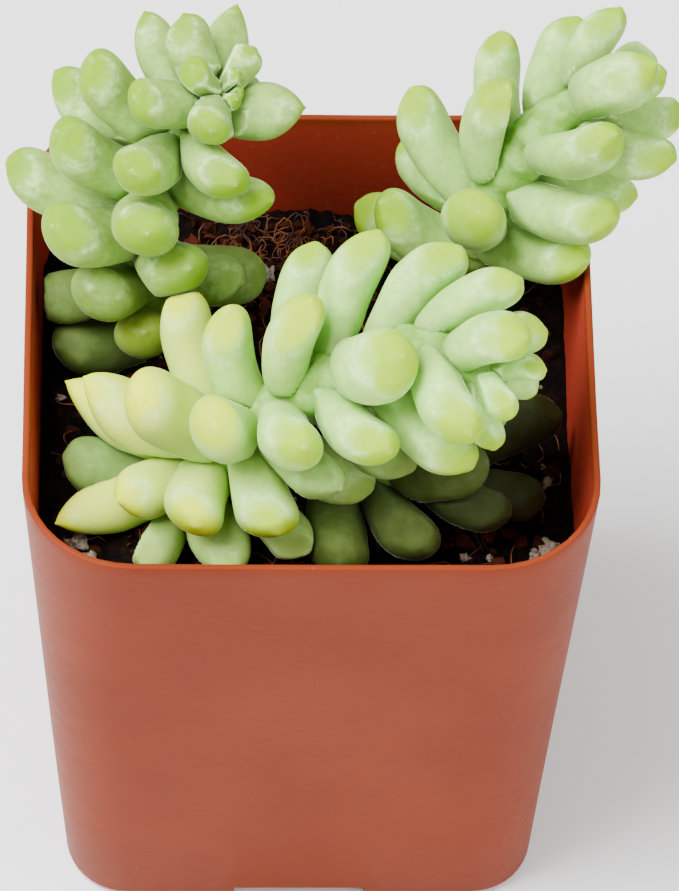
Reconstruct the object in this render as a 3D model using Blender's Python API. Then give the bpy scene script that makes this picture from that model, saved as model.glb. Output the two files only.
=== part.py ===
"""Burro's tail (Sedum) planted in a small square nursery pot.

Sizes in the tables are millimetres and degrees. Places are given from the centre of
the pot's rim, with X to the right, Y to the back and Z up, and `place` turns them into
metres in the part's own frame, whose origin lies on the surface that the pot stands on.
"""
from math import cos, pi, radians, sin

import bmesh
import bpy
import numpy as np

# ---- driving dimensions, mm ------------------------------------------------------
MM = 0.001
POT_X = -4.0                 # the pot's centre, left of the middle of the whole plant
POT_HEIGHT = 75.0
POT_TOP, POT_TOP_CORNER = 64.0, 12.3
POT_BASE, POT_BASE_CORNER = 55.6, 7.4
WALL = 0.8
BASE_EDGE = 1.4              # rounding between the wall and the base
FLOOR_TOP = 3.2              # inside face of the floor
CHANNEL_WIDE, CHANNEL_HIGH = 15.5, 2.0
DRAIN_RADIUS = 3.0
DRAIN_FROM_CENTRE = 15.0
GAP = 0.3                    # clearance between touching pieces
SOIL_DOWN = 16.0             # the soil's mean level below the rim
SOIL_BUMP = 0.6
SOIL_SLOPE = -0.06           # the soil lies lower towards the right
STEM_RADIUS = 1.4
STEM_SIDES_RESOLUTION = 2

# ---- shoots: route of each stem from below the soil to its tip ----------------------
STEMS = {
    "left": [(-17.5, 9.5, -27), (-18, 10, -16), (-18.5, 11.5, -4.5), (-18.5, 12, 5.5), (-15.5, 14.5, 15),
             (-10, 16, 23.5)],
    "front": [(-15, -8.5, -27), (-14, -9.5, -16), (-10.5, -12, -6), (-4.5, -12.5, 2), (2.5, -12.5, 9),
              (11.5, -12.5, 13.5), (17, -14.5, 14), (20.5, -17.5, 13.5)],
    "right": [(18.5, 19, -27), (19, 18.5, -16), (19.5, 17, -5), (21, 17, 4), (24.5, 18, 11),
              (28, 19, 16), (31.5, 19.5, 18.5), (33.5, 20, 20)],
    "low": [(0, -12, -27), (1, -12.5, -17), (4, -13, -12), (9, -12.5, -10), (14, -12, -9),
            (17, -12, -8.5)],
}
# leaves: place along the stem above the soil, heading (0 right, 90 back), rise, length, width
LEAVES = {
    "left": [(38, 118, 16, 12, 6), (42, 112, 42, 8.2, 6.5), (40, 74, 12, 12, 6), (40, -2, 28, 9, 7.5),
             (43, -106, 28, 7, 5.5), (40, -140, 45, 10, 6.2), (33, -117, 34, 13, 7),
             (33, 166, 43, 13.5, 7.5), (31, 148, 6, 14.5, 7.5), (36, -60, 22, 11.5, 6.5),
             (27, -178, 44, 13.5, 8), (29, -34, 15, 13.5, 7), (26, -95, 30, 13, 8),
             (22, 170, 10, 15, 7.5), (21, -155, 33, 13.5, 8.5), (18, -65, 30, 13, 8),
             (12.5, -130, 36, 12, 8), (11, -161, 6, 13.5, 7.5), (16, -19, -18, 11.5, 7),
             (13, 5, -16, 14.5, 8), (5, -125, 32, 10, 7), (2.5, -152, 3, 12, 7.5)],
    "right": [(25, 98, 22, 14.5, 6), (22, 58, 70, 14, 8), (18, 132, 30, 14.5, 7), (15, 130, 0, 12.5, 7),
             (31, 65, 35, 12.5, 6.5), (37, 58, 40, 10.5, 6), (40, 50, -35, 10, 6),
             (37.5, -12, 46, 12, 7.5), (36, 5, -15, 12.5, 6.5), (34, -6, -6, 12.5, 6.5),
             (29, -14, 38, 13.5, 7), (26.5, -10, -32, 13.5, 6.5), (22, -24, 13, 14, 7.5),
             (13, -31, 12, 15, 7), (16, -90, 60, 13, 8), (9, 168, 45, 14.5, 7.5), (6, 155, 10, 14.5, 7)],
    "front": [(13, 114, 34, 16.5, 7), (19, 125, 60, 13, 7), (18, -132, 50, 12, 8), (8, 156, 0, 16.5, 8),
             (11, 163, 19, 15.5, 8), (14, 178, 36, 14.5, 9), (4.5, -154, -8, 16, 7), (9, -134, -5, 11, 7),
             (11, -110, 0, 10.5, 7.5), (16, -68, -8, 11.5, 8), (23, -80, 27, 12, 7.5),
             (20, -55, 0, 11.5, 7), (25, 60, 75, 13.5, 7), (25, 84, 25, 16, 7), (30.5, 65, 35, 15.5, 7),
             (36, 38, 28, 14.5, 7.5), (41, 25, 25, 13, 6.5), (33.5, -51, 54, 11.5, 8.5),
             (29, -56, 6, 12, 7), (36, -43, -28, 14, 7.5), (42.5, -48, 6, 12.5, 7.5),
             (45, -20, 30, 11, 6.5), (45, 8, 12, 10.5, 6), (19, -44, -35, 15, 7.5), (28, -35, -30, 14, 7),
             (43, -36, -40, 12, 6), (33, 75, 0, 10, 5.5), (10, -66, -28, 15, 7), (6, -95, -8, 14, 7.5),
             (4, -128, -5, 14, 7.5), (2, -150, -5, 14, 7.5), (3, 175, 8, 13, 6)],
    "low": [(11, -22, 25, 12.5, 6.5), (14, -16, 2, 10.5, 6.5), (17, -13, -14, 11, 6.5),
             (19, 35, -8, 14.5, 7), (8, -65, 5, 11, 7.5), (4, -98, 2, 10, 8.5)],
}
# the small leaves round each tip are one piece with their stem
TIP_LEAVES = {
    "left": [(44, 59, 53, 6.5, 4.5), (43, 178, 60, 6.5, 4.8), (46, 110, 62, 4.2, 3),
             (43, -52, 25, 4.5, 3.8), (43, -100, 35, 3.5, 2.5), (46, 20, 78, 3, 2.2)],
    "front": [(48, -50, -28, 8.5, 5), (49, 20, -20, 7, 4.5), (49, -25, 0, 6.5, 4), (49, -45, -20, 6.5, 4)],
    "right": [(43, 0, 30, 7, 4.5)],
    "low": [],
}
OWN_LEAVES = {"left": 17, "right": 13, "front": 20, "low": 4}   # the rest are one piece with their stem

# ---- leaf shape ---------------------------------------------------------------------
WIDEST_AT = 0.60             # share of the length
FOOT_WIDTH = 0.55            # share of the full width at the foot
THICKNESS = 0.84             # thickness over width
UPTURN = 0.10                # how far the tip curves up, over the length
BALLS = np.array([0.12, 0.30, 0.48, 0.66, 0.82])   # balls along a leaf that stand for its bulk
BALL_SIZE = 0.94             # ball radius over the leaf's half width, while the leaves settle
FULLNESS = 1.08              # and how much more while they are pressed flat against each other
ROOTED_AT = 0.5              # how far from the stem's line a leaf of the stem's own piece starts
FAR_SIDE = np.array([0.0, 0.6, -0.8])              # the bare side that the spiral fills
GOLDEN_ANGLE = radians(137.5)
FAR_LEAF_LENGTH, FAR_LEAF_WIDTH = 12.5, 7.0
FAR_LEAF_STEP = 1.6          # along the stem, from one place of the spiral to the next
FAR_LEAF_START = 4.0         # above the soil
FAR_LEAF_OUT, FAR_LEAF_UP = 0.85, 0.5              # how far it leans out, and along the stem
TIP_TAPER, TIP_REACH = 0.35, 12.0                  # smaller by this share over the last stretch
MOST_CROWDED = 0.66          # a far leaf needs room for this share of its size
MOST_PUSHED = 1.2            # and may be this deep in a wall before it settles
SETTLE_TURNS = 60
STIFF, LOOSE = 0.15, 0.4     # how far a push turns a leaf: own piece, or grown on its stem
SPRING = 0.08                # how strongly it turns back to where it grew
WALL_PUSH = 1.5              # the pot pushes harder than another leaf


def unit(vector):
    return vector / np.linalg.norm(vector)


def girth(along):
    """Half width of a leaf, as a share of its greatest, at shares of its length."""
    along = np.asarray(along, float)
    swelling = FOOT_WIDTH + (1 - FOOT_WIDTH) * np.sin(pi / 2 * np.clip(along / WIDEST_AT, 0, 1)) ** 1.2
    past = np.clip((along - WIDEST_AT) / (1 - WIDEST_AT), 0, 1)
    return np.where(along < WIDEST_AT, swelling, np.sqrt(1 - past ** 2))


class Stem:
    """A smooth route through the stem's own points, measured from the soil up."""

    def __init__(self, name):
        self.name = name
        points = np.array(STEMS[name], float)
        padded = np.vstack([2 * points[0] - points[1], points, 2 * points[-1] - points[-2]])
        route = []
        for before, start, end, after in zip(padded, padded[1:], padded[2:], padded[3:]):
            for t in np.linspace(0, 1, 24, endpoint=False):
                route.append(0.5 * (2 * start + (end - before) * t
                                    + (2 * before - 5 * start + 4 * end - after) * t ** 2
                                    + (3 * start - before - 3 * end + after) * t ** 3))
        self.route = np.array(route + [points[-1]])
        steps = np.linalg.norm(np.diff(self.route, axis=0), axis=1)
        self.run = np.concatenate([[0.0], np.cumsum(steps)])
        self.run -= self.run[np.argmax(self.route[:, 2] >= -SOIL_DOWN)]
        self.root, self.tip = self.run[0], self.run[-1]

    def at(self, run):
        return np.array([np.interp(run, self.run, self.route[:, axis]) for axis in range(3)])

    def along(self, run):
        return unit(self.at(run + 0.6) - self.at(run - 0.6))


class Leaf:
    """One leaf: it sits on its stem, points along `aim` and curves towards the stem's tip."""

    def __init__(self, stem, name, run, aim, length, width, grown_on):
        self.stem, self.name, self.run = stem, name, min(run, stem.tip - 1)
        self.length, self.width, self.grown_on = length, width, grown_on
        self.first_aim = unit(aim)
        self.turn_to(aim)

    def turn_to(self, aim):
        self.aim = unit(aim)
        tangent = self.stem.along(self.run)
        outward = self.aim - tangent * self.aim.dot(tangent)
        outward = outward / max(np.linalg.norm(outward), 0.25)
        self.foot = self.stem.at(self.run) + outward * (ROOTED_AT if self.grown_on else STEM_RADIUS + GAP)
        up = tangent - self.aim * tangent.dot(self.aim)
        if np.linalg.norm(up) < 0.15:
            up = np.cross(self.aim, (0, 1, 0.01))
        self.up = unit(up)
        self.side = np.cross(self.up, self.aim)

    def spine(self, along):
        along = np.asarray(along, float)[..., None]
        return self.foot + self.aim * self.length * along + self.up * UPTURN * self.length * along ** 2

    def balls(self):
        return self.spine(BALLS), girth(BALLS) * self.width / 2 * BALL_SIZE


def heading(turn, rise):
    turn, rise = radians(turn), radians(rise)
    return np.array([cos(rise) * cos(turn), cos(rise) * sin(turn), sin(rise)])


# ---- the four walls, as flat plates, and the way out of them ---------------------------
def wall_inner(depth):
    """Half width inside the pot at a height from the rim."""
    lean = (POT_TOP - POT_BASE) / 2 / POT_HEIGHT
    return POT_TOP / 2 - WALL + lean * np.minimum(depth, 0)


def soil_top(x):
    """A level that every bump of the soil stays under."""
    return -SOIL_DOWN + SOIL_BUMP + SOIL_SLOPE * x


def way_out(centres, radii):
    """How far each ball must move to clear the walls, the rim and the soil."""
    move = np.zeros_like(centres)
    for axis in (0, 1):
        for side in (-1, 1):
            across = side * centres[:, axis]
            nearest = np.stack([np.clip(across, wall_inner(centres[:, 2]), POT_TOP / 2),
                                np.minimum(centres[:, 2], 0)], 1)
            away = np.stack([across, centres[:, 2]], 1) - nearest
            reach = np.linalg.norm(away, axis=1)
            sunk = reach < 1e-6
            away[sunk] = (-1, 0.3)
            reach = np.where(sunk, 1, reach)
            short = np.maximum(0, radii + GAP - np.where(sunk, 0, reach))
            move[:, axis] += side * away[:, 0] / reach * short
            move[:, 2] += away[:, 1] / reach * short
    move[:, 2] += np.maximum(0, soil_top(centres[:, 0]) + GAP + radii - centres[:, 2])
    return move


def wall_plates():
    for axis in (0, 1):
        for side in (-1, 1):
            corners = []
            for depth in (0.0, -17.0):
                for across in (wall_inner(depth), POT_TOP / 2):
                    for along in (-POT_TOP / 2, POT_TOP / 2):
                        corner = [along, along, depth]
                        corner[axis] = side * across
                        corners.append(corner)
            yield axis, side, np.array(corners)


# ---- growing the shoots -----------------------------------------------------------------
def parting(balls_a, radii_a, balls_b, radii_b):
    """The plane that parts two rows of balls best: share of size kept, normal, offset."""
    best = (-9.0, None, None)
    for start in balls_a:
        for end in balls_b:
            normal = (end - start) / (np.linalg.norm(end - start) + 1e-9)
            room = (balls_b @ normal)[None, :] - (balls_a @ normal)[:, None]
            share = room / (radii_a[:, None] + radii_b[None, :])
            if share.min() > best[0]:
                a, _ = np.unravel_index(share.argmin(), share.shape)
                best = (share.min(), normal, balls_a[a] @ normal + share.min() * radii_a[a])
    return best


def has_room(leaf, others):
    balls, radii = leaf.balls()
    if np.linalg.norm(way_out(balls, radii), axis=1).max() > MOST_PUSHED:
        return False
    for other in others:
        other_balls, other_radii = other.balls()
        if np.linalg.norm(balls[2] - other_balls[2]) < leaf.length + other.length:
            if parting(balls, radii, other_balls, other_radii)[0] < MOST_CROWDED:
                return False
    return True


def fill_far_side(stem, leaves):
    """Leaves on the bare side of a shoot, at the places of a golden-angle spiral with room."""
    for count, run in enumerate(np.arange(FAR_LEAF_START, stem.tip - 2, FAR_LEAF_STEP)):
        tangent = stem.along(run)
        across = unit(np.cross(tangent, (0, 1, 0.01)))
        angle = GOLDEN_ANGLE * count
        outward = across * cos(angle) + np.cross(tangent, across) * sin(angle)
        aim = unit(FAR_LEAF_OUT * outward + FAR_LEAF_UP * tangent)
        size = 1 - TIP_TAPER * max(0.0, (run - stem.tip + TIP_REACH) / TIP_REACH)
        leaf = Leaf(stem, f"{stem.name}_far_leaf_{count:02d}", run, aim,
                    FAR_LEAF_LENGTH * size, FAR_LEAF_WIDTH * size, True)
        if aim @ FAR_SIDE > 0.3 and has_room(leaf, leaves):
            leaves.append(leaf)


def push_apart(centres, radii, others, other_radii, ignore):
    """For each leaf, the push on its balls from every ball that they run into."""
    between = centres[:, :, None] - others
    reach = np.linalg.norm(between, axis=-1) + 1e-9
    short = np.maximum(0, radii[:, :, None] + other_radii - reach)
    short[ignore] = 0
    return (between / reach[..., None] * short[..., None]).sum(axis=2)


def settle(leaves, stems):
    """Leaves that would run into one another turn apart, and stay near where they grew."""
    stem_balls = np.vstack([[stem.at(run) for run in np.arange(stem.root, stem.tip, 1.6)] for stem in stems])
    count, each = len(leaves), len(BALLS)
    owner = np.repeat(np.arange(count), each)
    own = np.broadcast_to((np.arange(count)[:, None] == owner)[:, None], (count, each, count * each))
    near_foot = np.s_[:, :2]
    for _ in range(SETTLE_TURNS):
        centres = np.array([leaf.balls()[0] for leaf in leaves])
        radii = np.array([leaf.balls()[1] for leaf in leaves])
        push = push_apart(centres, radii, centres.reshape(-1, 3), radii.reshape(-1), own)
        push += push_apart(centres, radii, stem_balls, STEM_RADIUS + GAP, near_foot) / 2
        for number, leaf in enumerate(leaves):
            push[number] += way_out(centres[number], radii[number]) * WALL_PUSH
            turned = (push[number] * BALLS[:, None]).sum(axis=0) / leaf.length
            give = LOOSE if leaf.grown_on else STIFF
            leaf.turn_to(leaf.aim + turned * give + SPRING * (leaf.first_aim - leaf.aim))


def grow():
    stems = [Stem(name) for name in STEMS]
    leaves = []
    for stem in stems:
        for number, (run, turn, rise, length, width) in enumerate(LEAVES[stem.name]):
            leaves.append(Leaf(stem, f"{stem.name}_leaf_{number + 1:02d}", run, heading(turn, rise),
                               length, width, number >= OWN_LEAVES[stem.name]))
        for number, (run, turn, rise, length, width) in enumerate(TIP_LEAVES[stem.name]):
            leaves.append(Leaf(stem, f"{stem.name}_tip_leaf_{number + 1}", run, heading(turn, rise),
                               length, width, True))
    for stem in stems:
        fill_far_side(stem, leaves)
    settle(leaves, stems)
    return stems, leaves


def faces_pressed(leaves, stems):
    """For each leaf, the planes (normal, offset) of everything that it presses against."""
    down = np.array([SOIL_SLOPE, 0.0, -1.0])
    ground = (unit(down), (-soil_top(0) - GAP) / np.linalg.norm(down))
    planes = {leaf.name: [ground] for leaf in leaves}
    for number, leaf in enumerate(leaves):
        balls, radii = leaf.balls()
        for other in leaves[number + 1:]:
            other_balls, other_radii = other.balls()
            if np.linalg.norm(balls[2] - other_balls[2]) > leaf.length + other.length:
                continue
            share, normal, offset = parting(balls, radii * FULLNESS, other_balls, other_radii * FULLNESS)
            if share < 1:
                planes[leaf.name].append((normal, offset - GAP / 2))
                planes[other.name].append((-normal, -offset - GAP / 2))
        for stem in stems:
            if leaf.grown_on and stem is leaf.stem:
                continue
            for run in np.arange(stem.root, stem.tip + 1, 2.0):
                piece = np.array([stem.at(run), stem.at(run + 2.0)])
                if np.linalg.norm(balls - piece[0], axis=1).min() < 7:
                    size = np.array([STEM_RADIUS + GAP] * 2)
                    share, normal, _ = parting(balls, radii * FULLNESS, piece, size)
                    if share < 1.2:
                        planes[leaf.name].append((normal, (piece @ normal).min() - STEM_RADIUS - GAP))
        for axis, side, corners in wall_plates():
            nearest = balls.copy()
            nearest[:, axis] = side * np.clip(side * balls[:, axis], wall_inner(balls[:, 2]), POT_TOP / 2)
            nearest[:, 2] = np.minimum(balls[:, 2], 0)
            options = []
            for start, end in zip(balls, nearest):
                if np.linalg.norm(end - start) > 1e-6:
                    normal = unit(end - start)
                    offset = (corners @ normal).min() - GAP
                    options.append((((offset - balls @ normal) / radii).min(), tuple(normal), offset))
            share, normal, offset = max(options)
            if share < 1.4:
                planes[leaf.name].append((np.array(normal), offset))
    return planes


# ---- making the pieces ----------------------------------------------------------------
def place(point):
    """From millimetres at the rim's centre to metres in the part's own frame."""
    x, y, z = point
    return ((x + POT_X) * MM, y * MM, (z + POT_HEIGHT) * MM)


def material(name, colour, roughness):
    made = bpy.data.materials.get(name)
    if made is None:
        made = bpy.data.materials.new(name)
        made.use_nodes = True
        shader = made.node_tree.nodes["Principled BSDF"]
        shader.inputs["Base Color"].default_value = (*colour, 1)
        shader.inputs["Roughness"].default_value = roughness
        shader.inputs["Metallic"].default_value = 0
    return made


def collection(name):
    made = bpy.data.collections.new(name)
    bpy.context.scene.collection.children.link(made)
    return made


def mesh_object(name, bm, home, look, smooth=False):
    bm.normal_update()
    bmesh.ops.recalc_face_normals(bm, faces=bm.faces)
    mesh = bpy.data.meshes.new(name)
    bm.to_mesh(mesh)
    bm.free()
    if smooth:
        mesh.shade_smooth()
        mesh.set_sharp_from_angle(angle=radians(40))
    made = bpy.data.objects.new(name, mesh)
    home.objects.link(made)
    if look:
        mesh.materials.append(look)
    return made


def as_guide(made):
    made.hide_render = True
    made.display_type = "WIRE"
    return made


def boolean(target, guide, operation):
    step = target.modifiers.new(guide.name, "BOOLEAN")
    step.operation = operation
    step.object = guide
    step.solver = "EXACT"


def square_ring(bm, half, corner, z, centre=(POT_X, 0.0), per_corner=6):
    """A ring of vertices on a rounded square."""
    ring = []
    for quarter in range(4):
        turn = quarter * pi / 2
        away = ((1, 1), (-1, 1), (-1, -1), (1, -1))[quarter]
        for step in range(per_corner + 1):
            angle = turn + step / per_corner * pi / 2
            x = centre[0] + away[0] * (half - corner) + corner * cos(angle)
            y = centre[1] + away[1] * (half - corner) + corner * sin(angle)
            ring.append(bm.verts.new((x * MM, y * MM, z * MM)))
    return ring


def loft(bm, rings):
    """Close a skin over rings of vertices, capped at the first and the last."""
    for low, high in zip(rings, rings[1:]):
        for number in range(len(low)):
            after = (number + 1) % len(low)
            bm.faces.new((low[number], low[after], high[after], high[number]))
    bm.faces.new(rings[0])
    bm.faces.new(rings[-1])


def pot_section(z, inset=0.0):
    """Half width and corner radius of the pot's outside at a height, moved in by inset."""
    share = z / POT_HEIGHT
    half = (POT_BASE + (POT_TOP - POT_BASE) * share) / 2 - inset
    corner = POT_BASE_CORNER + (POT_TOP_CORNER - POT_BASE_CORNER) * share - inset
    return half, corner


def make_pot(home, guides):
    bm = bmesh.new()
    rings = []
    for angle in (0, 30, 60, 90):
        rise = BASE_EDGE * (1 - cos(radians(angle)))
        inset = BASE_EDGE * (1 - sin(radians(angle)))
        rings.append(square_ring(bm, *pot_section(rise, inset), rise))
    for z, inset in ((POT_HEIGHT, 0), (POT_HEIGHT, WALL), (FLOOR_TOP + 1, WALL), (FLOOR_TOP, WALL + 1)):
        rings.append(square_ring(bm, *pot_section(z, inset), z))
    loft(bm, rings)
    pot = mesh_object("pot", bm, home, material("terracotta_plastic", (0.62, 0.17, 0.09), 0.35), smooth=True)
    for name, size in (("channel_x", (80, CHANNEL_WIDE)), ("channel_y", (CHANNEL_WIDE, 80))):
        bpy.ops.mesh.primitive_cube_add(size=1, location=(POT_X * MM, 0, 0))
        channel = move_home(bpy.context.object, name, guides)
        channel.data.transform(scaling(size[0] * MM, size[1] * MM, 2 * CHANNEL_HIGH * MM))
        boolean(pot, channel, "DIFFERENCE")
    for number, (x, y) in enumerate(((1, 0), (0, 1), (-1, 0), (0, -1))):
        centre = ((POT_X + x * DRAIN_FROM_CENTRE) * MM, y * DRAIN_FROM_CENTRE * MM, FLOOR_TOP * MM)
        bpy.ops.mesh.primitive_cylinder_add(vertices=16, radius=DRAIN_RADIUS * MM, depth=6 * MM,
                                            location=centre)
        boolean(pot, move_home(bpy.context.object, f"drain_{number + 1}", guides), "DIFFERENCE")
    return pot


def scaling(x, y, z):
    return ((x, 0, 0, 0), (0, y, 0, 0), (0, 0, z, 0), (0, 0, 0, 1))


def move_home(made, name, home):
    made.name = name
    for old in made.users_collection:
        old.objects.unlink(made)
    home.objects.link(made)
    return as_guide(made)


def soil_level(x, y):
    """The uneven top of the soil, from the rim, at a place in the pot."""
    wave = sin(x * 0.31 + 1.3) * cos(y * 0.27 - 0.6) + 0.5 * sin(x * 0.13 - y * 0.21)
    return -SOIL_DOWN + SOIL_SLOPE * x + SOIL_BUMP * wave / 1.5


def make_soil(home):
    bm = bmesh.new()
    rings = []
    bottom = FLOOR_TOP + GAP
    for z, inset in ((bottom, WALL + GAP + 1), (bottom + 1, WALL + GAP),
                     (POT_HEIGHT - SOIL_DOWN - 1, WALL + GAP)):
        rings.append(square_ring(bm, *pot_section(z, inset), z))
    top_half, top_corner = pot_section(POT_HEIGHT - SOIL_DOWN, WALL + GAP)
    for share in (0.98, 0.8, 0.6, 0.4, 0.2):
        ring = square_ring(bm, top_half * share, top_corner * share, 0)
        for vertex in ring:
            x, y = vertex.co.x / MM - POT_X, vertex.co.y / MM
            vertex.co.z = (POT_HEIGHT + soil_level(x, y)) * MM
        rings.append(ring)
    loft(bm, rings)
    return mesh_object("soil", bm, home, material("potting_soil", (0.035, 0.018, 0.012), 0.95), smooth=True)


def tube(name, stem, radius, start, end, home, look=None):
    """A round tube along a stretch of a stem, as a welded mesh."""
    curve = bpy.data.curves.new(name, "CURVE")
    curve.dimensions = "3D"
    curve.bevel_depth = radius * MM
    curve.bevel_resolution = STEM_SIDES_RESOLUTION
    curve.use_fill_caps = True
    spline = curve.splines.new("POLY")
    runs = np.linspace(start, end, max(6, int((end - start) / 3)))
    spline.points.add(len(runs) - 1)
    for point, run in zip(spline.points, runs):
        point.co = (*place(stem.at(run)), 1)
        point.radius = 1 - 0.3 * max(0.0, (run - stem.tip + 15) / 15)
    drawn = bpy.data.objects.new(name + "_route", curve)
    home.objects.link(drawn)
    bpy.context.view_layer.update()
    mesh = bpy.data.meshes.new_from_object(drawn.evaluated_get(bpy.context.evaluated_depsgraph_get()))
    bpy.data.objects.remove(drawn)
    bm = bmesh.new()
    bm.from_mesh(mesh)
    bpy.data.meshes.remove(mesh)
    bmesh.ops.remove_doubles(bm, verts=bm.verts, dist=0.00001)
    return mesh_object(name, bm, home, look, smooth=True)


def leaf_mesh(leaf, planes, home, look, around=8, rings=7):
    """A ball drawn out into the leaf, and flattened where it meets its neighbours."""
    bm = bmesh.new()
    bmesh.ops.create_uvsphere(bm, u_segments=around, v_segments=rings, radius=1)
    for vertex in bm.verts:
        along = (vertex.co.z + 1) / 2
        rim = np.hypot(vertex.co.x, vertex.co.y)
        width = 0.0 if rim < 1e-4 else girth(along) * leaf.width / 2 / rim
        point = (leaf.spine(along) + leaf.side * vertex.co.x * width
                 + leaf.up * vertex.co.y * width * THICKNESS)
        heart = leaf.spine(np.clip(along, BALLS[0], BALLS[-1]))
        offset, kept = point - heart, 1.0
        for normal, limit in planes:
            outward = offset @ normal
            if outward > 1e-9 and not (leaf.grown_on and along < 1e-4):
                kept = min(kept, max(0.05, (limit - heart @ normal) / outward))
        vertex.co = place(heart + offset * kept)
    return mesh_object(leaf.name, bm, home, look, smooth=True)


def main():
    for old in list(bpy.data.objects):
        bpy.data.objects.remove(old)
    home = collection("potted_burros_tail")
    guides = collection("cutters_and_joiners")
    leaf_green = material("leaf_green", (0.42, 0.62, 0.28), 0.5)
    make_pot(home, guides)
    soil = make_soil(home)
    stems, leaves = grow()
    planes = faces_pressed(leaves, stems)
    for stem in stems:
        look = material("stem_green", (0.33, 0.45, 0.12), 0.6)
        body = tube(f"{stem.name}_stem", stem, STEM_RADIUS, stem.root, stem.tip, home, look)
        socket = tube(f"{stem.name}_socket", stem, STEM_RADIUS + GAP, stem.root - 0.5, 4.0, guides)
        boolean(soil, as_guide(socket), "DIFFERENCE")
        for leaf in leaves:
            if leaf.stem is stem and leaf.grown_on:
                guide = leaf_mesh(leaf, planes[leaf.name], guides, leaf_green, rings=6)
                boolean(body, as_guide(guide), "UNION")
    for leaf in leaves:
        if not leaf.grown_on:
            leaf_mesh(leaf, planes[leaf.name], home, leaf_green)


main()
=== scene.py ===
# %% [markdown]
# # A burro's tail in a small nursery pot
# The plant is a trailing stonecrop. Plump leaves the size of a bean sit all round each
# shoot and press flat against one another. The pot is a thin square one of moulded
# plastic, as growers use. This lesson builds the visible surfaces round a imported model
# that already fixes every size and place.

# %% Load the frame
import random
from math import cos, pi, radians, sin

import bmesh
import bpy
import numpy as np
from mathutils import Matrix, Vector, noise


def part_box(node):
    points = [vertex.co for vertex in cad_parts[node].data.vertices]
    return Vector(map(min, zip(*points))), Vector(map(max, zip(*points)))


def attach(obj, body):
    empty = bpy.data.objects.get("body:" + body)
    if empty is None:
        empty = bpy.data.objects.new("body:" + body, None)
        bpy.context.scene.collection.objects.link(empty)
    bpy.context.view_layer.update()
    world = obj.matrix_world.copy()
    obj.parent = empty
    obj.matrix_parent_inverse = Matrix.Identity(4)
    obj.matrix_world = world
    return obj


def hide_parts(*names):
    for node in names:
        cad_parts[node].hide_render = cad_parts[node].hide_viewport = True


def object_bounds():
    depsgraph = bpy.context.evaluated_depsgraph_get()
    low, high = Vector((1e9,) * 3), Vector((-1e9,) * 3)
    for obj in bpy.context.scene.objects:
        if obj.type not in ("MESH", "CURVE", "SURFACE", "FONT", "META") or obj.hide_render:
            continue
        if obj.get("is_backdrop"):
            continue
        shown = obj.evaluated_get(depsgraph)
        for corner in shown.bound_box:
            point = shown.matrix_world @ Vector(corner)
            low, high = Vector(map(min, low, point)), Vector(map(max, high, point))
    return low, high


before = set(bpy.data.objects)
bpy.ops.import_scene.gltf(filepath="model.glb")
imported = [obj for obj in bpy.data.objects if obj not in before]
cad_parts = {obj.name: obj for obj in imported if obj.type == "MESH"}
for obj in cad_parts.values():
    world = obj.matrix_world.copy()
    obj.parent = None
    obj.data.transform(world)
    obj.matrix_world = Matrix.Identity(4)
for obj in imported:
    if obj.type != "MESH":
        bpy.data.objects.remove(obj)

MM = 0.001
CAD_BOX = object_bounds()
POT_LOW, POT_HIGH = (np.array(corner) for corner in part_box("pot"))
RIM_CENTRE = np.array([(POT_LOW[0] + POT_HIGH[0]) / 2, (POT_LOW[1] + POT_HIGH[1]) / 2, POT_HIGH[2]])
print("pot", np.round((POT_HIGH - POT_LOW) / MM, 1), "mm")


def place(point):
    """From millimetres at the centre of the rim to metres in the frame."""
    return Vector(RIM_CENTRE + np.asarray(point, float) * MM)


def unit(vector):
    return vector / np.linalg.norm(vector)


def in_scene(name, data):
    """A new object for a mesh, curve, lamp or camera, linked to the scene."""
    made = bpy.data.objects.new(name, data)
    bpy.context.scene.collection.objects.link(made)
    return made


def to_mesh(name, bm):
    """A new mesh from a bmesh, which is freed."""
    mesh = bpy.data.meshes.new(name)
    bm.to_mesh(mesh)
    bm.free()
    return mesh


def finished_bmesh(made):
    """An object as its modifiers or its bevel leave it, as a bmesh. The object is removed."""
    bpy.context.view_layer.update()
    mesh = bpy.data.meshes.new_from_object(made.evaluated_get(bpy.context.evaluated_depsgraph_get()))
    bpy.data.objects.remove(made)
    bm = bmesh.new()
    bm.from_mesh(mesh)
    bpy.data.meshes.remove(mesh)
    return bm


# %% [markdown]
# ## The camera
# A small thing is best seen from a little way off with a long lens, so that its sides
# hardly converge. The camera looks at the middle of the rim from above the front. It is
# turned by three angles, and its own axes are worked out from them, so that nothing in
# the scene has to be aimed at.

# %% Camera
CAMERA_HEIGHT_ANGLE = radians(54.1)
CAMERA_TURN = radians(2.9)
CAMERA_ROLL = radians(-2.5)
CAMERA_FROM_RIM = 0.650
LENS = 233.9


def camera_axes():
    """Right, up and backwards for the camera, as vectors of the frame."""
    right = Vector((cos(CAMERA_TURN), -sin(CAMERA_TURN), 0))
    up = Vector((sin(CAMERA_HEIGHT_ANGLE) * sin(CAMERA_TURN), sin(CAMERA_HEIGHT_ANGLE) * cos(CAMERA_TURN),
                 cos(CAMERA_HEIGHT_ANGLE)))
    back = right.cross(up)
    rolled_right = right * cos(CAMERA_ROLL) - up * sin(CAMERA_ROLL)
    rolled_up = right * sin(CAMERA_ROLL) + up * cos(CAMERA_ROLL)
    return rolled_right, rolled_up, back


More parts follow.
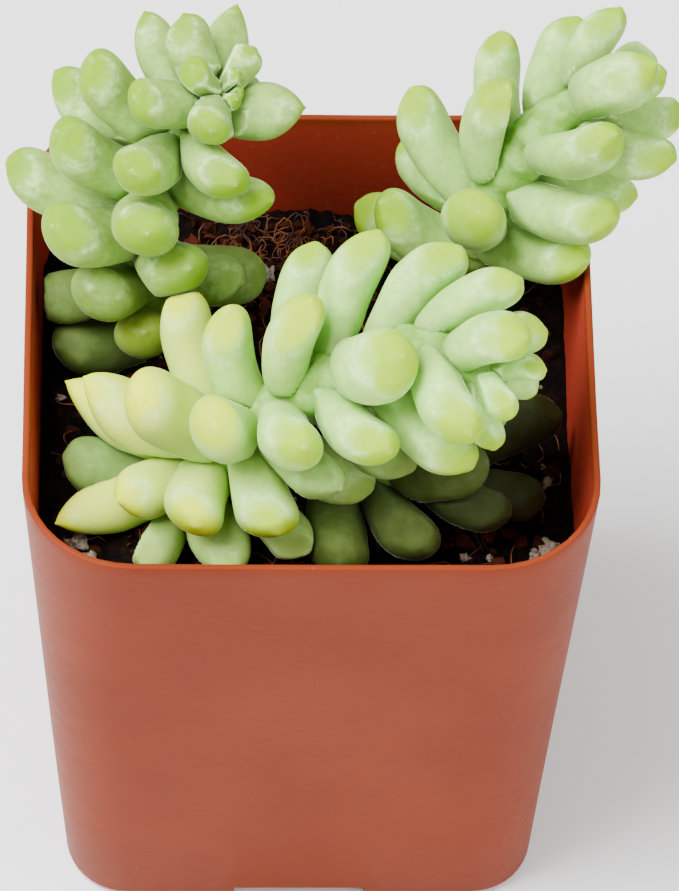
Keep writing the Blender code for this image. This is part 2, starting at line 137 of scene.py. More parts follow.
RIGHT, UP, BACK = camera_axes()
ASIDE, BELOW = 0.00326, -0.01168
camera = in_scene("camera", bpy.data.cameras.new("camera"))
standpoint = place((0, 0, 0)) + BACK * CAMERA_FROM_RIM + RIGHT * ASIDE + UP * BELOW
camera.matrix_world = Matrix.Translation(standpoint) @ Matrix((RIGHT, UP, BACK)).transposed().to_4x4()
camera.data.lens = LENS
camera.data.shift_x = 0.0013
camera.data.shift_y = -0.0073
camera.data.clip_start = 0.05
bpy.context.scene.camera = camera
print("camera at", [round(value, 3) for value in camera.location])

# %% [markdown]
# ## Small helpers
# Every piece is a mesh that lies where it belongs, with its object at the origin. Each
# one rides on the model's single body and hides the plain solid that it replaces.

# %% Finished piece from a bmesh
def piece(name, bm, look, slot, stands_for=(), smooth=True):
    """Make an object of the bmesh and give it to the frame."""
    mesh = to_mesh(name, bm)
    if smooth:
        mesh.shade_smooth()
    mesh.materials.append(look)
    made = in_scene(name, mesh)
    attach(made, "root")
    if stands_for:
        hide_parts(*stands_for)
    return made


# %% [markdown]
# ## Writing materials
# A material is a chain of nodes. Adding each node by hand takes many lines, so one small
# class adds a node, fills its sockets with numbers or with the outputs of earlier nodes,
# and hands back one output. An output is often needed over another range, so a tuple of
# an output, a low and a high end stands for that output mapped to 0 and 1, or to the two
# numbers that follow.

# %% Material helper
class Finish:
    """One node material, written from left to right."""

    def __init__(self, name):
        self.look = bpy.data.materials.new(name)
        self.look.use_nodes = True
        self.tree = self.look.node_tree
        self.shader = self.tree.nodes["Principled BSDF"]

    def add(self, kind, sockets=(), out=0, **settings):
        node = self.tree.nodes.new("ShaderNode" + kind)
        for name, value in settings.items():
            setattr(node, name, value)
        for name, value in dict(sockets).items():
            self.fill(node.inputs[name], value)
        return node.outputs[out]

    def fill(self, socket, value):
        if isinstance(value, tuple) and isinstance(value[0], bpy.types.NodeSocket):
            value = self.between(*value)
        if isinstance(value, bpy.types.NodeSocket):
            self.tree.links.new(value, socket)
        elif isinstance(value, tuple) and socket.type == "RGBA":
            socket.default_value = (*value, 1)
        else:
            socket.default_value = value

    def surface(self, **sockets):
        for name, value in sockets.items():
            self.fill(self.shader.inputs[name.replace("_", " ")], value)

    def here(self):
        return self.add("TexCoord", out=3)

    def stored(self, name):
        return self.add("Attribute", attribute_name=name, out=2)

    def grain(self, size_mm, detail=3.0, roughness=0.55, coords=None, stretch=None):
        coords = coords or self.here()
        if stretch:
            coords = self.add("Mapping", {"Vector": coords, "Scale": stretch})
        return self.add("TexNoise", {"Vector": coords, "Scale": 1 / (size_mm * MM), "Detail": detail,
                                     "Roughness": roughness})

    def between(self, value, low, high, to_low=0.0, to_high=1.0):
        return self.add("MapRange", {"Value": value, "From Min": low, "From Max": high, "To Min": to_low,
                                     "To Max": to_high}, interpolation_type="SMOOTHSTEP")

    def sum(self, kind, first, second=0.0):
        return self.add("Math", {0: first, 1: second}, operation=kind)

    def times(self, first, second):
        return self.sum("MULTIPLY", first, second)

    def blend(self, share, first, second, kind="MIX"):
        return self.add("Mix", {0: share, 6: first, 7: second}, out=2, data_type="RGBA", blend_type=kind)

    def bump(self, height, strength, depth_mm, under=None):
        sockets = {"Height": height, "Strength": strength, "Distance": depth_mm * MM}
        if under is not None:
            sockets["Normal"] = under
        return self.add("Bump", sockets)

# %% [markdown]
# ## Floor and light
# The floor is one big white sheet. A wide soft lamp hangs high on the left, so that the
# tops of the leaves are bright and the soil and the lower leaves fall into shade. A weak
# lamp low on the right and the pale sky keep those shadows open.

# %% Floor
bm = bmesh.new()
bmesh.ops.create_grid(bm, x_segments=2, y_segments=2, size=6)
floor = in_scene("floor", to_mesh("floor", bm))
paper = Finish("floor_paper")
paper.surface(Base_Color=(0.93, 0.93, 0.93), Roughness=0.6)
floor.data.materials.append(paper.look)
floor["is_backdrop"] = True

# %% Lamps and sky
KEY_POWER, FILL_POWER, SKY_STRENGTH = 15.2, 2.2, 0.86


def lamp(name, away, size, power):
    """A square lamp at a place from the rim's centre, in metres, that faces the plant."""
    light = bpy.data.lights.new(name, "AREA")
    light.size = size
    light.energy = power
    made = in_scene(name, light)
    made.location = place((0, 0, 0)) + Vector(away)
    made.rotation_euler = Vector(away).to_track_quat("Z", "Y").to_euler()


lamp("key", (-0.32, -0.06, 0.60), 0.45, KEY_POWER)
lamp("fill", (0.42, -0.32, 0.34), 0.50, FILL_POWER)
sky = bpy.data.worlds.new("sky")
sky.use_nodes = True
sky.node_tree.nodes["Background"].inputs["Color"].default_value = (1, 1, 1, 1)
sky.node_tree.nodes["Background"].inputs["Strength"].default_value = SKY_STRENGTH
bpy.context.scene.world = sky

# %% [markdown]
# ## The pot
# The real pot is blown or pressed from a thin sheet of plastic: four leaning walls with
# rounded corners that open out towards the rim. Its outline changes from ring to ring,
# so it is made as a stack of rounded squares. Each is a square face with its corners
# bevelled, and the rings are bridged from the foot up, over the rim and down the inside.

# %% Pot sizes, mm
POT_HEIGHT = 75.0
POT_TOP, POT_TOP_CORNER = 64.0, 12.3
POT_BASE, POT_BASE_CORNER = 55.6, 7.4
WALL = 0.8
LIP = 0.28
BASE_EDGE = 1.4
FLOOR_TOP = 3.2
CHANNEL_WIDE, CHANNEL_HIGH = 15.5, 2.0
DRAIN_RADIUS, DRAIN_FROM_CENTRE = 3.0, 15.0
CORNER_STEPS = 10


def pot_section(depth, inset=0.0):
    """Half width and corner radius at a height from the rim, moved in from the outside."""
    share = 1 + depth / POT_HEIGHT
    half = (POT_BASE + (POT_TOP - POT_BASE) * share) / 2 - inset
    return half, POT_BASE_CORNER + (POT_TOP_CORNER - POT_BASE_CORNER) * share - inset


def rounded_square(bm, half, corner, depth):
    """The edges of a level rounded square."""
    made = bmesh.ops.create_grid(bm, x_segments=1, y_segments=1, size=half * MM,
                                 matrix=Matrix.Translation(place((0, 0, depth))))
    bent = bmesh.ops.bevel(bm, geom=made["verts"], offset=corner * MM, segments=CORNER_STEPS, profile=0.5,
                           affect="VERTICES", material=-1)
    face = max(bent["faces"] + [f for v in bent["verts"] for f in v.link_faces], key=lambda f: f.calc_area())
    edges = list(face.edges)
    bmesh.ops.delete(bm, geom=[face], context="FACES_ONLY")
    return edges


def stack(bm, rings):
    """Bridge rings of edges into one closed skin."""
    for low, high in zip(rings, rings[1:]):
        bmesh.ops.bridge_loops(bm, edges=low + high)
    for end in (rings[0], rings[-1]):
        bmesh.ops.contextual_create(bm, geom=end)
    bmesh.ops.recalc_face_normals(bm, faces=bm.faces)


# %% Pot rings
def rounding(size, angle):
    """How far a rounded edge has left its two straight sides, at an angle round it."""
    return size * (1 - cos(radians(angle))), size * (1 - sin(radians(angle)))


bm = bmesh.new()
sections = []
for angle in (0, 20, 45, 70, 90):
    rise, inset = rounding(BASE_EDGE, angle)
    sections.append((rise - POT_HEIGHT, inset))
for depth in (-60, -45, -30, -20, -12, -6, -2):
    sections.append((depth, 0))
for angle in (0, 30, 60, 90):
    inset, drop = rounding(LIP, angle)
    sections.append((-drop, inset))
for angle in (90, 60, 30, 0):
    inset, drop = rounding(LIP, angle)
    sections.append((-drop, WALL - inset))
for depth in (-2, -6, -12, -20, -40):
    sections.append((depth, WALL))
sections += [(FLOOR_TOP + 1 - POT_HEIGHT, WALL), (FLOOR_TOP - POT_HEIGHT, WALL + 1)]
stack(bm, [rounded_square(bm, *pot_section(depth, inset), depth) for depth, inset in sections])
print(len(sections), "rings,", len(bm.faces), "faces in the pot's skin")

# %% [markdown]
# A pressed wall is never quite flat. The long edges are cut up, and the points of both
# skins are moved in and out together by a slow noise, so that the wall keeps its
# thickness.

# %% Waves in the wall
WALL_WAVE, RIM_WAVE = 0.16, 0.12        # in and out, and up and down, mm
LONG_EDGE, EDGE_CUTS = 12, 11
RIM_BAND = 0.001                        # how much of the top counts as the rim, metres


def along_a_wall(edge):
    """Whether an edge is level, long and inside the skin."""
    rise = abs(edge.verts[0].co.z - edge.verts[1].co.z)
    return edge.calc_length() > LONG_EDGE * MM and rise < 0.01 * MM and len(edge.link_faces) == 2


long_edges = [edge for edge in bm.edges if along_a_wall(edge)]
bmesh.ops.subdivide_edges(bm, edges=long_edges, cuts=EDGE_CUTS, use_grid_fill=False)
for vertex in bm.verts:
    away = Vector((vertex.co.x - RIM_CENTRE[0], vertex.co.y, 0))
    wave = noise.noise(Vector((away.x * 45, away.y * 45, vertex.co.z * 22)))
    if vertex.co.z > (FLOOR_TOP + 2) * MM:
        vertex.co += away.normalized() * wave * WALL_WAVE * MM
    if vertex.co.z > POT_HIGH[2] - RIM_BAND:
        vertex.co.z += noise.noise(Vector((away.x * 60, away.y * 60, 4))) * RIM_WAVE * MM
inside = bm.verts.layers.float.new("inside")
for vertex in bm.verts:
    x, y = abs(vertex.co.x - RIM_CENTRE[0]) / MM, abs(vertex.co.y - RIM_CENTRE[1]) / MM
    depth = (vertex.co.z - RIM_CENTRE[2]) / MM
    edge, corner = pot_section(depth, WALL / 2)
    sunk = max(x, y) < edge and np.hypot(max(0, x - edge + corner), max(0, y - edge + corner)) < corner
    vertex[inside] = float(sunk and depth < -0.5)
pot_skin = to_mesh("pot_skin", bm)

# %% [markdown]
# Under the pot two shallow channels cross, which leaves four feet, and four drain holes
# open into the channels. They are cut with Boolean modifiers, which are worked out at
# once so that the finished piece is a plain mesh.

# %% Cut the channels and drains
def block(name, size, centre):
    """A closed box, or a closed drum where one size is a radius."""
    bm = bmesh.new()
    if len(size) == 3:
        bmesh.ops.create_cube(bm, size=1, matrix=Matrix.LocRotScale(place(centre), None, Vector(size) * MM))
    else:
        bmesh.ops.create_cone(bm, cap_ends=True, segments=32, radius1=size[0] * MM, radius2=size[0] * MM,
                              depth=size[1] * MM, matrix=Matrix.Translation(place(centre)))
    return in_scene(name, to_mesh(name, bm))


def cut_away(mesh, cutters):
    """The mesh with every cutter taken out of it, as a bmesh. The cutters are removed."""
    body = in_scene("body", mesh)
    for cutter in cutters:
        step = body.modifiers.new(cutter.name, "BOOLEAN")
        step.operation, step.solver, step.object = "DIFFERENCE", "EXACT", cutter
    bm = finished_bmesh(body)
    for cutter in cutters:
        bpy.data.objects.remove(cutter)
    return bm


cutters = [block("channel_x", (80, CHANNEL_WIDE, 2 * CHANNEL_HIGH), (0, 0, -POT_HEIGHT)),
           block("channel_y", (CHANNEL_WIDE, 80, 2 * CHANNEL_HIGH), (0, 0, -POT_HEIGHT))]
for x, y in ((1, 0), (0, 1), (-1, 0), (0, -1)):
    cutters.append(block("drain", (DRAIN_RADIUS, 6), (x * DRAIN_FROM_CENTRE, y * DRAIN_FROM_CENTRE,
                                                      FLOOR_TOP - POT_HEIGHT)))
pot_bm = cut_away(pot_skin, cutters)
print(len(pot_bm.faces), "faces in the cut pot")

# %% [markdown]
# The plastic is a dull orange brick colour with a satin skin. It scatters a little light,
# so the thin rim glows paler. Faint scuffs run along the walls, and the colour is a
# little uneven from the pressing. The inside is painted redder and lighter than the
# outside, as painted bounce light between the red walls, and holds a little dust.

# %% Pot plastic
def hue(code):
    """A colour written as six hexadecimal digits, as linear light."""
    return tuple(((v / 255 + 0.055) / 1.055) ** 2.4 if v > 10 else v / 255 / 12.92
                 for v in (int(code[start:start + 2], 16) for start in (0, 2, 4)))


plastic = Finish("pot_plastic")
cloud = plastic.grain(22, 2)
speck = plastic.grain(0.7, 4, 0.6)
scuff = plastic.grain(2.2, 3, 0.5, stretch=(1, 1, 3))
colour = plastic.blend((cloud, 0.35, 0.68), (0.172, 0.026, 0.0075), (0.196, 0.031, 0.0095))
inner = plastic.stored("inside")
# Painted bounce light: the inside is made redder and lighter than the outside plastic.
colour = plastic.blend(inner, colour, (0.38, 0.040, 0.022))
dusty = plastic.sum("MULTIPLY", inner, (speck, 0.54, 0.72, 0, 0.16))
colour = plastic.blend(dusty, colour, (0.42, 0.19, 0.12))
colour = plastic.blend((speck, 0.66, 0.76, 0, 0.25), colour, (0.50, 0.14, 0.08))
plastic.surface(Base_Color=colour, Roughness=(scuff, 0.3, 0.75, 0.42, 0.49),
                Subsurface_Weight=0.08, Subsurface_Scale=0.0015, Specular_IOR_Level=0.055,
                Normal=plastic.bump(plastic.grain(0.35, 2), 0.10, 0.05,
                                    plastic.bump(scuff, 0.02, 0.08)))
pot = piece("pot_shell", pot_bm, plastic.look, "pot_plastic", ["pot"])
pot.data.set_sharp_from_angle(angle=radians(38))

# %% [markdown]
# ## The soil
# Potting mix is a crumbly dark mass. Its top is a fine grid with noise at three sizes,
# for clods, crumbs and grit. The grid is pulled in at its corners to the outline of the
# pot, and its border is drawn down to the pot's floor to close the block.

# %% Soil block
SOIL_DOWN, SOIL_BUMP, SOIL_SLOPE = 16.0, 0.6, -0.06
GAP = 0.3
SOIL_CELLS = 150


def soil_level(x, y):
    """The smooth level of the soil, from the rim."""
    wave = sin(x * 0.31 + 1.3) * cos(y * 0.27 - 0.6) + 0.5 * sin(x * 0.13 - y * 0.21)
    return -SOIL_DOWN + SOIL_SLOPE * x + SOIL_BUMP * wave / 1.5


def clods(x, y):
    """How far the crumbs stand out of the smooth level, in mm."""
    spot = Vector((x, y, 3.0))
    lumps = noise.noise(spot / 4.5) * 0.9 + abs(noise.noise(spot / 1.7)) * 1.1 - 0.5
    return lumps + noise.noise(spot / 0.7) * 0.35 - 0.15


def to_outline(x, y, half, corner):
    """Pull a point of a square in, so that the square's border becomes a rounded square."""
    reach = max(abs(x), abs(y))
    if reach < 1e-9:
        return 0.0, 0.0
    over_x, over_y = abs(x) / reach * half, abs(y) / reach * half
    flat = half - corner
    if min(over_x, over_y) > flat:
        slope = np.hypot(over_x, over_y)
        along = (over_x * flat + over_y * flat) / slope
        kept = along + np.sqrt(max(0.0, corner ** 2 - 2 * flat ** 2 + along ** 2))
        return x * kept / slope, y * kept / slope
    return x, y


def soil_surface(x, y):
    return soil_level(x, y) + clods(x, y)


bm = bmesh.new()
BED, BED_CORNER = pot_section(-SOIL_DOWN, WALL + 0.1)    # half width and corner of the soil's top
bmesh.ops.create_grid(bm, x_segments=SOIL_CELLS, y_segments=SOIL_CELLS, size=BED)
border = [edge for edge in bm.edges if edge.is_boundary]
for vertex in bm.verts:
    x, y = to_outline(vertex.co.x, vertex.co.y, BED, BED_CORNER)
    vertex.co = place((x, y, soil_surface(x, y)))
drawn = bmesh.ops.extrude_edge_only(bm, edges=border)["geom"]
low_half = pot_section(FLOOR_TOP - POT_HEIGHT, WALL + 0.1 + 1)[0]
for vertex in (item for item in drawn if isinstance(item, bmesh.types.BMVert)):
    x, y = vertex.co.x - RIM_CENTRE[0], vertex.co.y - RIM_CENTRE[1]
    vertex.co = Vector((RIM_CENTRE[0] + x * low_half / BED, RIM_CENTRE[1] + y * low_half / BED,
                        (FLOOR_TOP + GAP) * MM))
bmesh.ops.contextual_create(bm, geom=[item for item in drawn if isinstance(item, bmesh.types.BMEdge)])
bmesh.ops.recalc_face_normals(bm, faces=bm.faces)
print(len(bm.faces), "faces in the soil")

# %% Soil finish
soil_finish = Finish("potting_soil")
crumb = soil_finish.grain(1.1, 6, 0.65)
damp = soil_finish.grain(9, 2)
colour = soil_finish.blend((crumb, 0.35, 0.7), hue("040202"), hue("1C0D08"))
colour = soil_finish.blend((damp, 0.45, 0.7, 0, 0.6), colour, hue("090404"))
soil_finish.surface(Base_Color=colour, Roughness=0.95, Specular_IOR_Level=0.1,
                    Normal=soil_finish.bump(crumb, 0.9, 0.6))
piece("soil_bed", bm, soil_finish.look, "potting_soil", ["soil"])

# %% [markdown]
# Coarse bits lie on top: crumbs of bark, white grains of perlite, which is puffed
# volcanic glass, and rust-coloured coconut fibres. Crumbs and grains are small balls with
# their points moved. Many crumbs are needed, so each has only twenty faces. The few
# large grains of perlite are made finer. Crumbs and fibres lie thickest at the back.

# %% Crumbs and grains
def lump(bm, centre, size, rough, seed, fine=1, flat=1.0):
    """A ball whose points are moved at random, at a place on the soil."""
    turn = Matrix.Rotation(seed * 2.4, 4, Vector((cos(seed), sin(seed), 0.6)))
    made = bmesh.ops.create_icosphere(bm, subdivisions=fine, radius=1)["verts"]
    for vertex in made:
        swell = 1 + rough * noise.noise(vertex.co * 1.7 + Vector((seed * 3.1, 0, 0)))
        vertex.co = place(np.array(centre) + np.array(turn @ Vector((vertex.co.x, vertex.co.y * 0.8,
                                                                      vertex.co.z * flat))) * size * swell)
    return made


def on_soil(chance, margin=1.5):
    """A random place on the soil, with its height."""
    while True:
        x, y = (chance.uniform(-1, 1) * (BED - margin) for _ in range(2))
        past_x, past_y = (max(0, abs(across) - BED + BED_CORNER) for across in (x, y))
        if np.hypot(past_x, past_y) < BED_CORNER - margin:
            return x, y, soil_surface(x, y)


CRUMBS, NEST_CRUMBS = 560, 140
CRUMB_NEST = (-3, 6), (22, 4)           # middle and spread, across and back
NEST_END = 27.5
chance = random.Random(11)
bark = bmesh.new()
shade_layer = bark.verts.layers.float.new("shade")
for number in range(CRUMBS):
    x, y, z = on_soil(chance)
    if number >= CRUMBS - NEST_CRUMBS:
        x, y = chance.gauss(*CRUMB_NEST[0]), min(NEST_END, chance.gauss(*CRUMB_NEST[1]))
        z = soil_surface(x, y)
    size = chance.uniform(0.35, 1.0) ** 1.3 * 1.25
    dark = chance.random()
    for vertex in lump(bark, (x, y, z + size * 0.25), size, 0.9, number, flat=chance.uniform(0.35, 0.9)):
        vertex[shade_layer] = dark
bmesh.ops.recalc_face_normals(bark, faces=bark.faces)
bark_finish = Finish("bark_crumbs")
tone = bark_finish.stored("shade")
colour = bark_finish.blend(tone, hue("0A0504"), hue("4C200F"))
colour = bark_finish.blend((bark_finish.grain(0.5, 3), 0.4, 0.7, 0, 0.6), colour, hue("3A1C10"))
bark_finish.surface(Base_Color=colour, Roughness=0.9, Specular_IOR_Level=0.12,
                    Normal=bark_finish.bump(bark_finish.grain(0.4, 3), 0.6, 0.25))
piece("bark_crumbs", bark, bark_finish.look, "potting_soil", smooth=False)

# %% Perlite
SMALL_GRAINS = 26
PERLITE = [(-25.9, -18.6, 1.3), (-24.6, -21.2, 1.1), (27.0, -17.4, 1.4), (25.6, -18.6, 0.8),
           (17.7, -18.8, 0.6), (20.5, -18.7, 0.5), (27.5, -7.5, 0.7), (-28.1, 2.0, 0.5),
           (-4.2, 20.4, 1.0)]       # place across and back, and size
grains = bmesh.new()
for number, (x, y, size) in enumerate(PERLITE):
    centre = (x, y, soil_surface(x, y) + size * 0.4)
    lump(grains, centre, size, 0.8, number + 40, fine=3, flat=0.8)
for number in range(SMALL_GRAINS):
    x, y, z = on_soil(chance)
    lump(grains, (x, y, z + 0.1), chance.uniform(0.22, 0.5), 0.8, number + 90, fine=2)
bmesh.ops.recalc_face_normals(grains, faces=grains.faces)
perlite = Finish("perlite")
pores = perlite.add("TexVoronoi", {"Vector": perlite.here(), "Scale": 1 / (0.45 * MM)})
colour = perlite.blend((pores, 0.1, 0.5), hue("4A3C2E"), hue("8C8070"))
perlite.surface(Base_Color=colour, Roughness=0.8, Subsurface_Weight=0.1, Subsurface_Scale=0.001,
                Normal=perlite.bump(pores, 0.5, 0.2))
piece("perlite_grains", grains, perlite.look, "potting_soil")

# %% [markdown]
# Fibres are fine threads that arch over the soil. A curve with a round bevel is the
# shortest way to a thread: one curve holds them all, each as its own spline, and it is
# turned into a mesh at the end.

# %% Coconut fibres
FIBRES, NEST_FIBRES = 210, 120
FIBRE_NEST = (-3, 5), (23, 3)           # middle and spread, across and back
FROM_WALL = 1.2


def curve_mesh(curve, name):
    """The mesh of a curve with its bevel, and no double points."""
    bm = finished_bmesh(in_scene(name, curve))
    bmesh.ops.remove_doubles(bm, verts=bm.verts, dist=0.000002)
    bmesh.ops.recalc_face_normals(bm, faces=bm.faces)
    return bm


def thread_curve(name, radius, resolution=0):
    curve = bpy.data.curves.new(name, "CURVE")
    curve.dimensions = "3D"
    curve.bevel_depth = radius * MM
    curve.bevel_resolution = resolution
    curve.use_fill_caps = True
    return curve


def add_thread(curve, chance, start, heading, length, curl, lift):
    """One fibre, as points that wander from a start and rise and fall once."""
    steps = 7
    spline = curve.splines.new("POLY")
    spline.points.add(steps)
    x, y, _ = start
    for number in range(steps + 1):
        share = number / steps
        height = soil_surface(x, y) + 0.12 + lift * sin(pi * share) ** 1.2
        spline.points[number].co = (*place((x, y, height)), 1)
        spline.points[number].radius = 1 - 0.55 * abs(2 * share - 1) ** 2
        heading += curl / steps + chance.uniform(-0.25, 0.25)
        x = min(max(x + cos(heading) * length / steps, FROM_WALL - BED), BED - FROM_WALL)
        y = min(max(y + sin(heading) * length / steps, FROM_WALL - BED), BED - FROM_WALL)


fibres = thread_curve("coconut_fibres", 0.085)
for _ in range(FIBRES):
    add_thread(fibres, chance, on_soil(chance, 3), chance.uniform(0, 2 * pi), chance.uniform(3, 9),
               chance.uniform(-3, 3), chance.uniform(0.1, 1.3))
for _ in range(NEST_FIBRES):
    nest = (chance.gauss(*FIBRE_NEST[0]), chance.gauss(*FIBRE_NEST[1]), 0)
    add_thread(fibres, chance, nest, chance.uniform(0, 2 * pi), chance.uniform(2, 8), chance.uniform(-8, 8),
               chance.uniform(0.3, 1.8))
fibre_finish = Finish("coconut_fibre")
colour = fibre_finish.blend((fibre_finish.grain(2.5, 2), 0.35, 0.65), hue("2A0E06"), hue("8A4A22"))
fibre_finish.surface(Base_Color=colour, Roughness=0.7,
                     Normal=fibre_finish.bump(fibre_finish.grain(0.2, 2), 0.4, 0.05))
piece("coconut_fibres", curve_mesh(fibres, "coconut_fibres"), fibre_finish.look, "potting_soil")

# %% [markdown]
# ## The shoots
# Each shoot is a thin stem with leaves all round. A smooth curve through a few points
# gives the stem. A table gives every leaf by its place along the stem, its heading, its
# length and its width, so that one leaf can be moved without touching the rest.

# %% Routes and leaves, mm from the rim's centre
STEM_RADIUS = 1.4
STEMS = {
    "left": [(-17.5, 9.5, -27), (-18, 10, -16), (-18.5, 11.5, -4.5), (-18.5, 12, 5.5), (-15.5, 14.5, 15),
             (-10, 16, 23.5)],
    "front": [(-15, -8.5, -27), (-14, -9.5, -16), (-10.5, -12, -6), (-4.5, -12.5, 2), (2.5, -12.5, 9),
              (11.5, -12.5, 13.5), (17, -14.5, 14), (20.5, -17.5, 13.5)],
    "right": [(18.5, 19, -27), (19, 18.5, -16), (19.5, 17, -5), (21, 17, 4), (24.5, 18, 11),
              (28, 19, 16), (31.5, 19.5, 18.5), (33.5, 20, 20)],
    "low": [(0, -12, -27), (1, -12.5, -17), (4, -13, -12), (9, -12.5, -10), (14, -12, -9),
            (17, -12, -8.5)],
}
# leaves: place along the stem above the soil, heading (0 right, 90 back), rise, length, width
LEAVES = {
    "left": [(38, 118, 16, 12, 6), (42, 112, 42, 8.2, 6.5), (40, 74, 12, 12, 6), (40, -2, 28, 9, 7.5),
             (43, -106, 28, 7, 5.5), (40, -140, 45, 10, 6.2), (33, -117, 34, 13, 7),
             (33, 166, 43, 13.5, 7.5), (31, 148, 6, 14.5, 7.5), (36, -60, 22, 11.5, 6.5),
             (27, -178, 44, 13.5, 8), (29, -34, 15, 13.5, 7), (26, -95, 30, 13, 8),
             (22, 170, 10, 15, 7.5), (21, -155, 33, 13.5, 8.5), (18, -65, 30, 13, 8),
             (12.5, -130, 36, 12, 8), (11, -161, 6, 13.5, 7.5), (16, -19, -18, 11.5, 7),
             (13, 5, -16, 14.5, 8), (5, -125, 32, 10, 7), (2.5, -152, 3, 12, 7.5)],
    "right": [(25, 98, 22, 14.5, 6), (22, 58, 70, 14, 8), (18, 132, 30, 14.5, 7), (15, 130, 0, 12.5, 7),
             (31, 65, 35, 12.5, 6.5), (37, 58, 40, 10.5, 6), (40, 50, -35, 10, 6),
             (37.5, -12, 46, 12, 7.5), (36, 5, -15, 12.5, 6.5), (34, -6, -6, 12.5, 6.5),
             (29, -14, 38, 13.5, 7), (26.5, -10, -32, 13.5, 6.5), (22, -24, 13, 14, 7.5),
             (13, -31, 12, 15, 7), (16, -90, 60, 13, 8), (9, 168, 45, 14.5, 7.5), (6, 155, 10, 14.5, 7)],
    "front": [(13, 114, 34, 16.5, 7), (19, 125, 60, 13, 7), (18, -132, 50, 12, 8), (8, 156, 0, 16.5, 8),
             (11, 163, 19, 15.5, 8), (14, 178, 36, 14.5, 9), (4.5, -154, -8, 16, 7), (9, -134, -5, 11, 7),
             (11, -110, 0, 10.5, 7.5), (16, -68, -8, 11.5, 8), (23, -80, 27, 12, 7.5),
             (20, -55, 0, 11.5, 7), (25, 60, 75, 13.5, 7), (25, 84, 25, 16, 7), (30.5, 65, 35, 15.5, 7),
             (36, 38, 28, 14.5, 7.5), (41, 25, 25, 13, 6.5), (33.5, -51, 54, 11.5, 8.5),
             (29, -56, 6, 12, 7), (36, -43, -28, 14, 7.5), (42.5, -48, 6, 12.5, 7.5),
             (45, -20, 30, 11, 6.5), (45, 8, 12, 10.5, 6), (19, -44, -35, 15, 7.5), (28, -35, -30, 14, 7),
             (43, -36, -40, 12, 6), (33, 75, 0, 10, 5.5), (10, -66, -28, 15, 7), (6, -95, -8, 14, 7.5),
             (4, -128, -5, 14, 7.5), (2, -150, -5, 14, 7.5), (3, 175, 8, 13, 6)],
    "low": [(11, -22, 25, 12.5, 6.5), (14, -16, 2, 10.5, 6.5), (17, -13, -14, 11, 6.5),
             (19, 35, -8, 14.5, 7), (8, -65, 5, 11, 7.5), (4, -98, 2, 10, 8.5)],
}
# the small leaves round each tip are one piece with their stem
TIP_LEAVES = {
    "left": [(44, 59, 53, 6.5, 4.5), (43, 178, 60, 6.5, 4.8), (46, 110, 62, 4.2, 3),
             (43, -52, 25, 4.5, 3.8), (43, -100, 35, 3.5, 2.5), (46, 20, 78, 3, 2.2)],
    "front": [(48, -50, -28, 8.5, 5), (49, 20, -20, 7, 4.5), (49, -25, 0, 6.5, 4), (49, -45, -20, 6.5, 4)],
    "right": [(43, 0, 30, 7, 4.5)],
    "low": [],
}
OWN_LEAVES = {"left": 17, "right": 13, "front": 20, "low": 4}   # the rest are one piece with their stem


# %% Leaf proportions
WIDEST_AT = 0.60             # share of the length
FOOT_WIDTH = 0.55            # share of the full width at the foot
THICKNESS = 0.84             # thickness over width
UPTURN = 0.10                # how far the tip curves up, over the length
BALLS = np.array([0.12, 0.30, 0.48, 0.66, 0.82])   # balls along a leaf that stand for its bulk
BALL_SIZE = 0.94             # ball radius over the leaf's half width, while the leaves settle
FULLNESS = 1.08              # and how much more while they are pressed flat against each other
ROOTED_AT = 0.5              # how far from the stem's line a leaf of the stem's own piece starts
FAR_SIDE = np.array([0.0, 0.6, -0.8])              # the bare side that the spiral fills
GOLDEN_ANGLE = radians(137.5)
FAR_LEAF_LENGTH, FAR_LEAF_WIDTH = 12.5, 7.0
FAR_LEAF_STEP = 1.6          # along the stem, from one place of the spiral to the next
FAR_LEAF_START = 4.0         # above the soil
FAR_LEAF_OUT, FAR_LEAF_UP = 0.85, 0.5              # how far it leans out, and along the stem
TIP_TAPER, TIP_REACH = 0.35, 12.0                  # smaller by this share over the last stretch
MOST_CROWDED = 0.66          # a far leaf needs room for this share of its size
MOST_PUSHED = 1.2            # and may be this deep in a wall before it settles
SETTLE_TURNS = 60
STIFF, LOOSE = 0.15, 0.4     # how far a push turns a leaf: own piece, or grown on its stem
SPRING = 0.08                # how strongly it turns back to where it grew
WALL_PUSH = 1.5              # the pot pushes harder than another leaf

# %% [markdown]
# A leaf knows its stem, its place and its aim. It can be turned later, and its foot then
# slides round the stem. Five balls along it stand for its bulk while the leaves find
# room, which is far quicker than testing meshes.

# %% Stem and leaf
def girth(along):
    """Half width of a leaf, as a share of its greatest, at shares of its length."""
    along = np.asarray(along, float)
    swelling = FOOT_WIDTH + (1 - FOOT_WIDTH) * np.sin(pi / 2 * np.clip(along / WIDEST_AT, 0, 1)) ** 1.2
    past = np.clip((along - WIDEST_AT) / (1 - WIDEST_AT), 0, 1)
    return np.where(along < WIDEST_AT, swelling, np.sqrt(1 - past ** 2))


